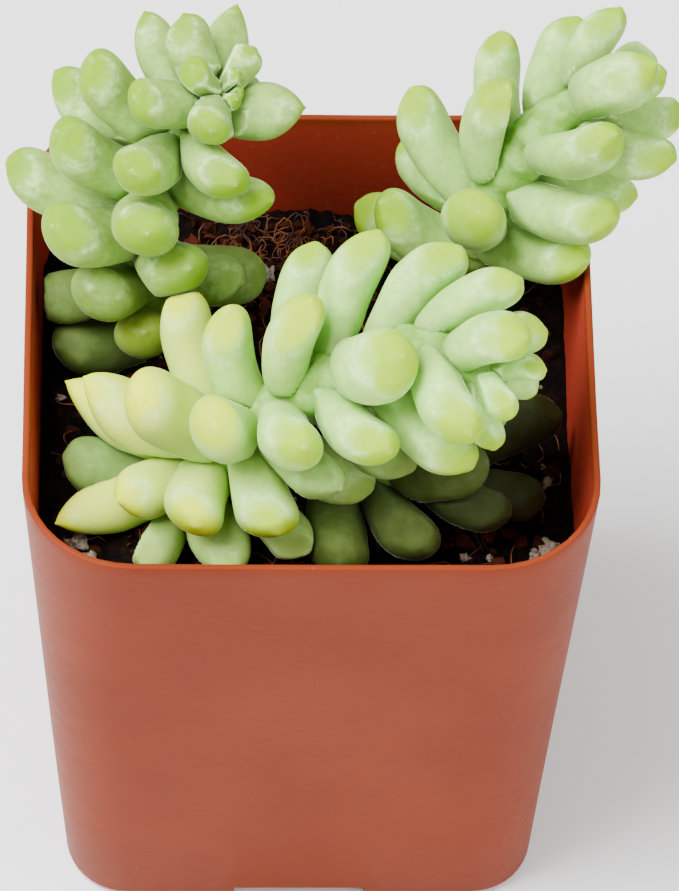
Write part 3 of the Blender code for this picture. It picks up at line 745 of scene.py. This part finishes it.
class Stem:
    """A smooth route through the stem's own points, measured from the soil up."""

    def __init__(self, name):
        self.name = name
        points = np.array(STEMS[name], float)
        padded = np.vstack([2 * points[0] - points[1], points, 2 * points[-1] - points[-2]])
        route = []
        for before, start, end, after in zip(padded, padded[1:], padded[2:], padded[3:]):
            for t in np.linspace(0, 1, 24, endpoint=False):
                route.append(0.5 * (2 * start + (end - before) * t
                                    + (2 * before - 5 * start + 4 * end - after) * t ** 2
                                    + (3 * start - before - 3 * end + after) * t ** 3))
        self.route = np.array(route + [points[-1]])
        steps = np.linalg.norm(np.diff(self.route, axis=0), axis=1)
        self.run = np.concatenate([[0.0], np.cumsum(steps)])
        self.run -= self.run[np.argmax(self.route[:, 2] >= -SOIL_DOWN)]
        self.root, self.tip = self.run[0], self.run[-1]

    def at(self, run):
        return np.array([np.interp(run, self.run, self.route[:, axis]) for axis in range(3)])

    def along(self, run):
        return unit(self.at(run + 0.6) - self.at(run - 0.6))


class Leaf:
    """One leaf: it sits on its stem, points along `aim` and curves towards the stem's tip."""

    def __init__(self, stem, name, run, aim, length, width, grown_on):
        self.stem, self.name, self.run = stem, name, min(run, stem.tip - 1)
        self.length, self.width, self.grown_on = length, width, grown_on
        self.first_aim = unit(aim)
        self.turn_to(aim)

    def turn_to(self, aim):
        self.aim = unit(aim)
        tangent = self.stem.along(self.run)
        outward = self.aim - tangent * self.aim.dot(tangent)
        outward = outward / max(np.linalg.norm(outward), 0.25)
        self.foot = self.stem.at(self.run) + outward * (ROOTED_AT if self.grown_on else STEM_RADIUS + GAP)
        up = tangent - self.aim * tangent.dot(self.aim)
        if np.linalg.norm(up) < 0.15:
            up = np.cross(self.aim, (0, 1, 0.01))
        self.up = unit(up)
        self.side = np.cross(self.up, self.aim)

    def spine(self, along):
        along = np.asarray(along, float)[..., None]
        return self.foot + self.aim * self.length * along + self.up * UPTURN * self.length * along ** 2

    def balls(self):
        return self.spine(BALLS), girth(BALLS) * self.width / 2 * BALL_SIZE


def heading(turn, rise):
    turn, rise = radians(turn), radians(rise)
    return np.array([cos(rise) * cos(turn), cos(rise) * sin(turn), sin(rise)])

# %% [markdown]
# Leaves grow into one another's way, and the real ones turn aside and press flat. First
# come the pot's walls and the soil, as things that a leaf keeps clear of.

# %% Walls and soil as obstacles
def wall_inner(depth):
    """Half width inside the pot at a height from the rim."""
    lean = (POT_TOP - POT_BASE) / 2 / POT_HEIGHT
    return POT_TOP / 2 - WALL + lean * np.minimum(depth, 0)


def soil_top(x):
    """A level that every bump of the soil stays under."""
    return -SOIL_DOWN + SOIL_BUMP + SOIL_SLOPE * x


def way_out(centres, radii):
    """How far each ball must move to clear the walls, the rim and the soil."""
    move = np.zeros_like(centres)
    for axis in (0, 1):
        for side in (-1, 1):
            across = side * centres[:, axis]
            nearest = np.stack([np.clip(across, wall_inner(centres[:, 2]), POT_TOP / 2),
                                np.minimum(centres[:, 2], 0)], 1)
            away = np.stack([across, centres[:, 2]], 1) - nearest
            reach = np.linalg.norm(away, axis=1)
            sunk = reach < 1e-6
            away[sunk] = (-1, 0.3)
            reach = np.where(sunk, 1, reach)
            short = np.maximum(0, radii + GAP - np.where(sunk, 0, reach))
            move[:, axis] += side * away[:, 0] / reach * short
            move[:, 2] += away[:, 1] / reach * short
    move[:, 2] += np.maximum(0, soil_top(centres[:, 0]) + GAP + radii - centres[:, 2])
    return move


def wall_plates():
    for axis in (0, 1):
        for side in (-1, 1):
            corners = []
            for depth in (0.0, -17.0):
                for across in (wall_inner(depth), POT_TOP / 2):
                    for along in (-POT_TOP / 2, POT_TOP / 2):
                        corner = [along, along, depth]
                        corner[axis] = side * across
                        corners.append(corner)
            yield axis, side, np.array(corners)

# %% [markdown]
# Then the leaves push each other apart over many small turns, and each remembers where
# it wanted to point. The bare far side of every shoot is filled at the golden angle, as
# the plant does.

# %% Growing
def parting(balls_a, radii_a, balls_b, radii_b):
    """The plane that parts two rows of balls best: share of size kept, normal, offset."""
    best = (-9.0, None, None)
    for start in balls_a:
        for end in balls_b:
            normal = (end - start) / (np.linalg.norm(end - start) + 1e-9)
            room = (balls_b @ normal)[None, :] - (balls_a @ normal)[:, None]
            share = room / (radii_a[:, None] + radii_b[None, :])
            if share.min() > best[0]:
                a, _ = np.unravel_index(share.argmin(), share.shape)
                best = (share.min(), normal, balls_a[a] @ normal + share.min() * radii_a[a])
    return best


def has_room(leaf, others):
    balls, radii = leaf.balls()
    if np.linalg.norm(way_out(balls, radii), axis=1).max() > MOST_PUSHED:
        return False
    for other in others:
        other_balls, other_radii = other.balls()
        if np.linalg.norm(balls[2] - other_balls[2]) < leaf.length + other.length:
            if parting(balls, radii, other_balls, other_radii)[0] < MOST_CROWDED:
                return False
    return True


def fill_far_side(stem, leaves):
    """Leaves on the bare side of a shoot, at the places of a golden-angle spiral with room."""
    for count, run in enumerate(np.arange(FAR_LEAF_START, stem.tip - 2, FAR_LEAF_STEP)):
        tangent = stem.along(run)
        across = unit(np.cross(tangent, (0, 1, 0.01)))
        angle = GOLDEN_ANGLE * count
        outward = across * cos(angle) + np.cross(tangent, across) * sin(angle)
        aim = unit(FAR_LEAF_OUT * outward + FAR_LEAF_UP * tangent)
        size = 1 - TIP_TAPER * max(0.0, (run - stem.tip + TIP_REACH) / TIP_REACH)
        leaf = Leaf(stem, f"{stem.name}_far_leaf_{count:02d}", run, aim,
                    FAR_LEAF_LENGTH * size, FAR_LEAF_WIDTH * size, True)
        if aim @ FAR_SIDE > 0.3 and has_room(leaf, leaves):
            leaves.append(leaf)


def push_apart(centres, radii, others, other_radii, ignore):
    """For each leaf, the push on its balls from every ball that they run into."""
    between = centres[:, :, None] - others
    reach = np.linalg.norm(between, axis=-1) + 1e-9
    short = np.maximum(0, radii[:, :, None] + other_radii - reach)
    short[ignore] = 0
    return (between / reach[..., None] * short[..., None]).sum(axis=2)


def settle(leaves, stems):
    """Leaves that would run into one another turn apart, and stay near where they grew."""
    stem_balls = np.vstack([[stem.at(run) for run in np.arange(stem.root, stem.tip, 1.6)] for stem in stems])
    count, each = len(leaves), len(BALLS)
    owner = np.repeat(np.arange(count), each)
    own = np.broadcast_to((np.arange(count)[:, None] == owner)[:, None], (count, each, count * each))
    near_foot = np.s_[:, :2]
    for _ in range(SETTLE_TURNS):
        centres = np.array([leaf.balls()[0] for leaf in leaves])
        radii = np.array([leaf.balls()[1] for leaf in leaves])
        push = push_apart(centres, radii, centres.reshape(-1, 3), radii.reshape(-1), own)
        push += push_apart(centres, radii, stem_balls, STEM_RADIUS + GAP, near_foot) / 2
        for number, leaf in enumerate(leaves):
            push[number] += way_out(centres[number], radii[number]) * WALL_PUSH
            turned = (push[number] * BALLS[:, None]).sum(axis=0) / leaf.length
            give = LOOSE if leaf.grown_on else STIFF
            leaf.turn_to(leaf.aim + turned * give + SPRING * (leaf.first_aim - leaf.aim))


def grow():
    """Every stem, and every leaf once it has settled."""
    stems = [Stem(name) for name in STEMS]
    leaves = []
    for stem in stems:
        rows = [(f"leaf_{number:02d}", number > OWN_LEAVES[stem.name], row)
                for number, row in enumerate(LEAVES[stem.name], 1)]
        rows += [(f"tip_leaf_{number}", True, row) for number, row in enumerate(TIP_LEAVES[stem.name], 1)]
        for name, grown_on, (run, turn, rise, length, width) in rows:
            aim = heading(turn, rise)
            leaves.append(Leaf(stem, f"{stem.name}_{name}", run, aim, length, width, grown_on))
    for stem in stems:
        fill_far_side(stem, leaves)
    settle(leaves, stems)
    return stems, leaves


def faces_pressed(leaves, stems):
    """For each leaf, the planes (normal, offset) of everything that it presses against."""
    down = np.array([SOIL_SLOPE, 0.0, -1.0])
    ground = (unit(down), (-soil_top(0) - GAP) / np.linalg.norm(down))
    planes = {leaf.name: [ground] for leaf in leaves}
    for number, leaf in enumerate(leaves):
        balls, radii = leaf.balls()
        for other in leaves[number + 1:]:
            other_balls, other_radii = other.balls()
            if np.linalg.norm(balls[2] - other_balls[2]) > leaf.length + other.length:
                continue
            share, normal, offset = parting(balls, radii * FULLNESS, other_balls, other_radii * FULLNESS)
            if share < 1:
                planes[leaf.name].append((normal, offset - GAP / 2))
                planes[other.name].append((-normal, -offset - GAP / 2))
        for stem in stems:
            if leaf.grown_on and stem is leaf.stem:
                continue
            for run in np.arange(stem.root, stem.tip + 1, 2.0):
                piece = np.array([stem.at(run), stem.at(run + 2.0)])
                if np.linalg.norm(balls - piece[0], axis=1).min() < 7:
                    size = np.array([STEM_RADIUS + GAP] * 2)
                    share, normal, _ = parting(balls, radii * FULLNESS, piece, size)
                    if share < 1.2:
                        planes[leaf.name].append((normal, (piece @ normal).min() - STEM_RADIUS - GAP))
        for axis, side, corners in wall_plates():
            nearest = balls.copy()
            nearest[:, axis] = side * np.clip(side * balls[:, axis], wall_inner(balls[:, 2]), POT_TOP / 2)
            nearest[:, 2] = np.minimum(balls[:, 2], 0)
            options = []
            for start, end in zip(balls, nearest):
                if np.linalg.norm(end - start) > 1e-6:
                    normal = unit(end - start)
                    offset = (corners @ normal).min() - GAP
                    options.append((((offset - balls @ normal) / radii).min(), tuple(normal), offset))
            share, normal, offset = max(options)
            if share < 1.4:
                planes[leaf.name].append((np.array(normal), offset))
    return planes


stems, leaves = grow()
planes = faces_pressed(leaves, stems)
print(len(leaves), "leaves on", len(stems), "shoots")

# %% [markdown]
# ## One leaf
# A leaf is a ball drawn out along its spine: narrow at the foot, widest past the middle
# and blunt or pointed at the tip. Where a neighbour presses, the points are drawn in to
# the plane between the two. A plain minimum would leave a hard crease round each flat
# spot, so the limits are blended softly and the flat spot gets a rounded rim.

# %% Leaf skin
def by_name(table):
    """Leaf names with a value each, from leaf numbers under the name of their stem."""
    return {f"{stem}_leaf_{number:02d}": value
            for stem, row in table.items() for number, value in row.items()}


AROUND, RINGS = 32, 30
SOFT_RIM = 0.11
POINTED = by_name({
    "left": {1: 0.5, 2: 0.4, 3: 0.9, 4: 0.8, 5: 0.0, 9: 0.4, 12: 0.5, 16: 0.2, 18: 0.6, 21: 0.5},
    "right": {6: 0.4, 8: 0.8, 11: 0.3, 12: 0.3},
    "front": {4: 0.9, 5: 0.7, 6: 0.4, 7: 0.9, 8: 0.4, 12: 0.4, 29: 0.6},
})
USUAL_POINT = 0.1            # how pointed the other leaves are, from 0 to 1
PLUMP = 0.95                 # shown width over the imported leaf's
SHANK = 0.92                 # width at the foot, over the greatest
ROOTED, JOINED_ROOTED = 1.4, 0.3                   # how far the foot reaches in, mm
SUN = unit(np.array([-0.1, -0.5, 0.86]))
FACET_AT, FACET_TILT, FACET_DEPTH = 0.78, 0.5, 0.70   # the flat sunny spot near the tip
NIB, NIB_FROM, NIB_RUN = 0.22, 0.985, 0.015        # the tiny point at the very tip
RIPPLE = 0.16                # unevenness of the skin, mm
BOW, SWAY = 0.055, 0.035     # how far the middle of a leaf hangs, and sways to a side


def outline(along, blunt):
    """Half width of the shown leaf, as a share of its greatest, blunt (1) or pointed (0)."""
    widest = 0.5 + 0.2 * blunt
    if along < widest:
        return SHANK + (1 - SHANK) * sin(pi / 2 * along / widest) ** 2 - 0.25 * max(0.0, 0.12 - along) / 0.12
    past = min(1.0, (along - widest) / (1 - widest))
    return (1 - past ** (1.6 + blunt)) ** (0.80 - 0.34 * blunt)


def soft_least(values, rim):
    """The least of some numbers, rounded off where two are close."""
    values = sorted(values)
    least = values[0]
    for value in values[1:]:
        close = max(0.0, rim - abs(value - least)) / rim
        least = min(least, value) - close * close * rim / 4
    return least


def keep(bm, vertex, **values):
    """Store numbers at a point, under names that the finish reads."""
    for name, value in values.items():
        vertex[bm.verts.layers.float[name]] = value


def leaf_skin(bm, leaf, number):
    """Add the leaf to the bmesh, and store what its finish needs at every point."""
    made = bmesh.ops.create_uvsphere(bm, u_segments=AROUND, v_segments=RINGS, radius=1)["verts"]
    blunt = 1 - POINTED.get(leaf.name, USUAL_POINT)
    sunward = SUN - leaf.aim * SUN.dot(leaf.aim)
    facet = unit(sunward + leaf.aim * FACET_TILT)
    facet_limit = leaf.spine(FACET_AT) @ facet + leaf.width / 2 * PLUMP * FACET_DEPTH
    inward = unit(leaf.stem.at(leaf.run) - leaf.foot) * (JOINED_ROOTED if leaf.grown_on else ROOTED)
    sway = SWAY * sin(number * 2.4)
    for vertex in made:
        along = (vertex.co.z + 1) / 2
        rim = float(np.hypot(vertex.co.x, vertex.co.y))
        width = 0.0 if rim < 1e-4 else outline(along, blunt) * PLUMP * leaf.width / 2 / rim
        heart = leaf.spine(np.clip(along, BALLS[0], BALLS[-1]))
        nib = NIB * max(0.0, (along - NIB_FROM) / NIB_RUN) ** 2
        skin = leaf.spine(along) + leaf.side * vertex.co.x * width + leaf.up * vertex.co.y * width * THICKNESS
        skin = skin + leaf.aim * nib + inward * (1 - along) ** 4
        skin = skin + (leaf.side * sway - leaf.up * BOW) * leaf.length * sin(pi * along)
        ripple = noise.noise(Vector(skin) / 3.5 + Vector((number * 7.3, 0, 0))) * RIPPLE * min(1, rim * 3)
        offset = (skin - heart) * (1 + ripple / max(1.0, leaf.width / 2))
        limits = [1.0]
        across = offset @ facet
        flat = (facet_limit - heart @ facet) / across if across > 1e-6 else 2.0
        for normal, limit in planes[leaf.name] + [(facet, facet_limit)]:
            outward = offset @ normal
            if outward > 1e-9:
                share = max(0.05, (limit - heart @ normal) / outward)
                if share < 1 + SOFT_RIM:
                    limits.append(share)
        kept = soft_least(limits, SOFT_RIM)
        keep(bm, vertex, along=along, flat=min(2.0, flat))
        vertex.co = place(heart + offset * kept)
    return made


# %% [markdown]
# The wax bloom of a burro's tail is thick on ridges and rubbed off in hollows. How far
# each point stands out from its neighbours is worked out once here and stored, so that
# the finish can paint the ridges paler, partly for that bloom and partly as painted sheen.

# %% Ridges
def store_ridges(bm, made):
    """Keep how sharply the skin bends outward at each point."""
    bm.normal_update()
    for vertex in made:
        around = [edge.other_vert(vertex).co for edge in vertex.link_edges]
        middle = sum(around, Vector()) / len(around)
        spread = sum((co - vertex.co).length for co in around) / len(around)
        keep(bm, vertex, ridge=(vertex.co - middle).dot(vertex.normal) / max(spread, 1e-7) ** 2 * MM)


# How yellow a leaf is, and how deep in shade it lies. The leaves not named are neither.
WARM = by_name({
    "left": {21: 0.3},
    "front": {1: 0.8, 2: 0.35, 3: 0.45, 4: 1.0, 5: 0.95, 6: 0.9, 7: 0.9, 8: 0.75, 9: 0.6, 10: 0.25,
              13: 0.3, 28: 0.15, 29: 0.2, 30: 0.3},
})
DEEP = by_name({
    "left": {16: 0.1, 17: 0.3, 18: 0.7, 19: 0.35, 20: 0.4, 21: 0.15, 22: 0.8},
    "front": {12: 0.3, 24: 0.2, 25: 0.45, 26: 0.3, 28: 0.3, 29: 0.2, 30: 0.4, 31: 0.6, 32: 0.8},
    "low": {1: 0.8, 2: 0.95, 3: 1.0, 4: 1.0, 5: 0.8, 6: 0.7},
})
FAR_DEEP = 0.35              # the same for the leaves of the far side
WAX = {"left": 0.15, "right": 0.6, "front": 1.0, "low": 0.0}


def leaf_bmesh(some):
    """Leaves together in one bmesh, each a closed skin of its own."""
    bm = bmesh.new()
    for name in ("along", "flat", "ridge", "warm", "deep", "wax", "each"):
        bm.verts.layers.float.new(name)
    for leaf in some:
        number = leaves.index(leaf)
        made = leaf_skin(bm, leaf, number)
        store_ridges(bm, made)
        for vertex in made:
            # Painted highlight: an old leaf's yellow is laid on more strongly where its skin faces up.
            sunny = min(1.0, max(0.0, 0.65 + 0.5 * vertex.normal.z))
            keep(bm, vertex, warm=WARM.get(leaf.name, 0.0) * sunny, wax=WAX[leaf.stem.name],
                 deep=DEEP.get(leaf.name, FAR_DEEP * ("far" in leaf.name)), each=number * 0.618 % 1)
    bmesh.ops.recalc_face_normals(bm, faces=bm.faces)
    return bm


# %% [markdown]
# ## The leaf's finish
# Under a dusty, bluish-white bloom the flesh is green. The bloom is thicker on some shoots
# than on others, and thinner towards each leaf's foot, where the darker foot is partly
# painted shade. On the flat sunny end of each leaf the bloom gives way to a lime-green
# patch, with a paler rim of painted sheen. The old leaves at the foot of the front shoot
# are yellowish, painted paler and yellower where they face up, as a painted highlight.
# Leaves deep inside get painted shade: they are darker, with less bloom and a weaker
# patch. Light goes a little way into the flesh, so the shadows between leaves stay soft
# and green.

# %% Leaf finish
flesh = Finish("leaf_flesh")
along = flesh.stored("along")
ridge = flesh.stored("ridge")
soft_cloud = flesh.grain(3.2, 3, 0.5)
fine_cloud = flesh.grain(0.9, 4, 0.6)
dust = flesh.grain(0.28, 3, 0.65)
wax = flesh.stored("wax")
warm = flesh.times(flesh.stored("warm"), (flesh.stored("along"), 0.05, 0.55, 0.45, 1))
deep = flesh.stored("deep")
flat = flesh.sum("ADD", flesh.stored("flat"), (soft_cloud, 0.25, 0.75, -0.10, 0.10))
flat = flesh.sum("ADD", flat, (flesh.stored("each"), 0, 1, 0.12, 0))
reach = flesh.sum("ADD", along, (soft_cloud, 0.25, 0.75, -0.06, 0.06))
upper_side = flesh.times((flat, 1.36, 0.72), (reach, 0.36, 0.70))
patch = flesh.sum("MAXIMUM", upper_side, (reach, 0.80, 0.94))
# Painted shade weakens the patch on leaves deep among the others.
patch = flesh.times(patch, (deep, 0, 0.3, 1, 0.15))
body = flesh.blend((along, 0.05, 0.7), (0.17, 0.28, 0.072), (0.20, 0.32, 0.048))
# Old leaves' yellow, stronger on upward faces as a painted highlight.
body = flesh.blend(warm, body, (0.70, 0.77, 0.05))
bloom = flesh.between(flesh.grain(2.8, 3, 0.5), 0.34, 0.70, 0.08, 0.34)
bloom = flesh.sum("ADD", bloom, (wax, 0, 1, 0, 0.52))
bloom = flesh.sum("ADD", bloom, (fine_cloud, 0.3, 0.7, -0.09, 0.09))
# Less bloom towards the foot: partly thinner bloom, partly painted shade where the leaves crowd the stem.
bloom = flesh.times(bloom, (along, 0.05, 0.5, 0.4, 1))
bloom = flesh.times(bloom, (warm, 0, 1, 1, 0.25))
# Painted sheen: a pale ring round the edge of the flat spot, where the skin turns away.
painted_rim_sheen = flesh.times((flat, 1.06, 1.26), (flat, 1.9, 1.3))
painted_rim_sheen = flesh.times(painted_rim_sheen, (along, 0.3, 0.7))
painted_rim_sheen = flesh.times(painted_rim_sheen, (fine_cloud, 0.35, 0.65, 0.1, 0.5))
# Pale ridges: partly thicker bloom, partly painted sheen.
rim_bloom_and_sheen = flesh.sum("MAXIMUM", (ridge, 0.20, 0.45, 0.0, 0.85), painted_rim_sheen)
# Painted shade dims the pale rim on deep leaves.
rim_bloom_and_sheen = flesh.times(rim_bloom_and_sheen, (deep, 0, 0.6, 1, 0.1))
rim_bloom_and_sheen = flesh.times(rim_bloom_and_sheen, (along, 0.12, 0.32))
body = flesh.blend(bloom, body, (0.47, 0.82, 0.19))
body = flesh.blend(rim_bloom_and_sheen, body, (0.66, 0.96, 0.42))
glow = flesh.blend(wax, (0.18, 0.34, 0.001), (0.345, 0.55, 0.0))
glow = flesh.blend(warm, glow, (0.76, 0.83, 0.004))
glow = flesh.blend((soft_cloud, 0.38, 0.62, 0.35, 0), glow, (0.72, 0.85, 0.30), "MULTIPLY")
body = flesh.blend(flesh.times(patch, (fine_cloud, 0.25, 0.6, 0.8, 1)), body, glow)
grit = flesh.times((dust, 0.68, 0.8, 0, 0.3), (patch, 0, 1, 1, 0.2))
body = flesh.blend(grit, body, (0.8, 0.95, 0.7))
body = flesh.blend((along, 0.9985, 0.9998, 0, 0.25), body, (0.9, 0.9, 0.55))
# Painted shade: leaves deep among the others are darkened.
body = flesh.blend(deep, body, (0.11, 0.085, 0.13), "MULTIPLY")
flesh.surface(Base_Color=body, Roughness=(fine_cloud, 0.3, 0.7, 0.5, 0.65),
              Subsurface_Weight=0.10, Subsurface_Scale=0.0014, Specular_IOR_Level=0.12, Sheen_Weight=0.5,
              Sheen_Roughness=0.14, Sheen_Tint=(0.85, 1.0, 0.85),
              Normal=flesh.bump(dust, 0.12, 0.05, flesh.bump(soft_cloud, 0.15, 0.4)))
flesh.shader.inputs["Subsurface Radius"].default_value = (0.9, 1.0, 0.2)

# %% [markdown]
# ## Leaves and stems
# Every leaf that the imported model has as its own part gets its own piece. The rest of a
# shoot's leaves are joined in one piece, beside the stem that carries them.

# %% Leaf pieces
own = [leaf for leaf in leaves if not leaf.grown_on]
furthest = 0.0
for leaf in own:
    made = piece(leaf.name + "_skin", leaf_bmesh([leaf]), flesh.look, "leaf", [leaf.name])
    low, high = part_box(leaf.name)
    shown = np.array([vertex.co for vertex in made.data.vertices])
    furthest = max(furthest, np.abs(shown.min(axis=0) - low).max(), np.abs(shown.max(axis=0) - high).max())
for stem in stems:
    joined = [leaf for leaf in leaves if leaf.grown_on and leaf.stem is stem]
    piece(stem.name + "_small_leaves", leaf_bmesh(joined), flesh.look, "leaf", [stem.name + "_stem"])
print(len(own), "leaves of their own; boxes agree within", round(furthest / MM, 2), "mm")

# %% [markdown]
# The stems are round threads of the same curve kind as the fibres, only thicker. Each
# swells where the leaves are packed closest, and is lumpy from old leaf scars. It is the
# pale green of the leaves' feet, and hardly shows between them.

# %% Stems
STEM_SWELL = 1.5
bark_green = Finish("stem_bark")
scar = bark_green.grain(1.5, 3)
colour = bark_green.blend((scar, 0.35, 0.65), (0.17, 0.34, 0.045), (0.26, 0.48, 0.10))
bark_green.surface(Base_Color=colour, Roughness=0.6, Subsurface_Weight=0.1, Subsurface_Scale=0.001,
                   Specular_IOR_Level=0.12, Normal=bark_green.bump(scar, 0.4, 0.3))
for stem in stems:
    route = thread_curve(stem.name, STEM_RADIUS, 6)
    spline = route.splines.new("POLY")
    runs = np.linspace(stem.root, stem.tip, 90)
    spline.points.add(len(runs) - 1)
    for spot, run in zip(spline.points, runs):
        crowded = np.clip((run - 4) / 8, 0, 1) * np.clip((stem.tip - run) / 10, 0, 1)
        spot.co = (*place(stem.at(run)), 1)
        spot.radius = 0.75 + crowded * STEM_SWELL + 0.12 * sin(run * 2.1) * crowded
    bark_skin = curve_mesh(route, stem.name)
    for vertex in bark_skin.verts:
        vertex.co += vertex.normal * noise.noise(vertex.co / (2.6 * MM)) * 0.45 * MM
    piece(stem.name + "_bark", bark_skin, bark_green.look, "stem", [stem.name + "_stem"])

# %% [markdown]
# ## Sizes
# The sizes of the imported model and of the finished surfaces are printed side by side.

# %% Sizes and finish
boxes = {"cad": [list(corner) for corner in CAD_BOX], "visual": [list(corner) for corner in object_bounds()]}
print({name: [round((high - low) / MM, 1) for low, high in zip(*corners)] for name, corners in boxes.items()})
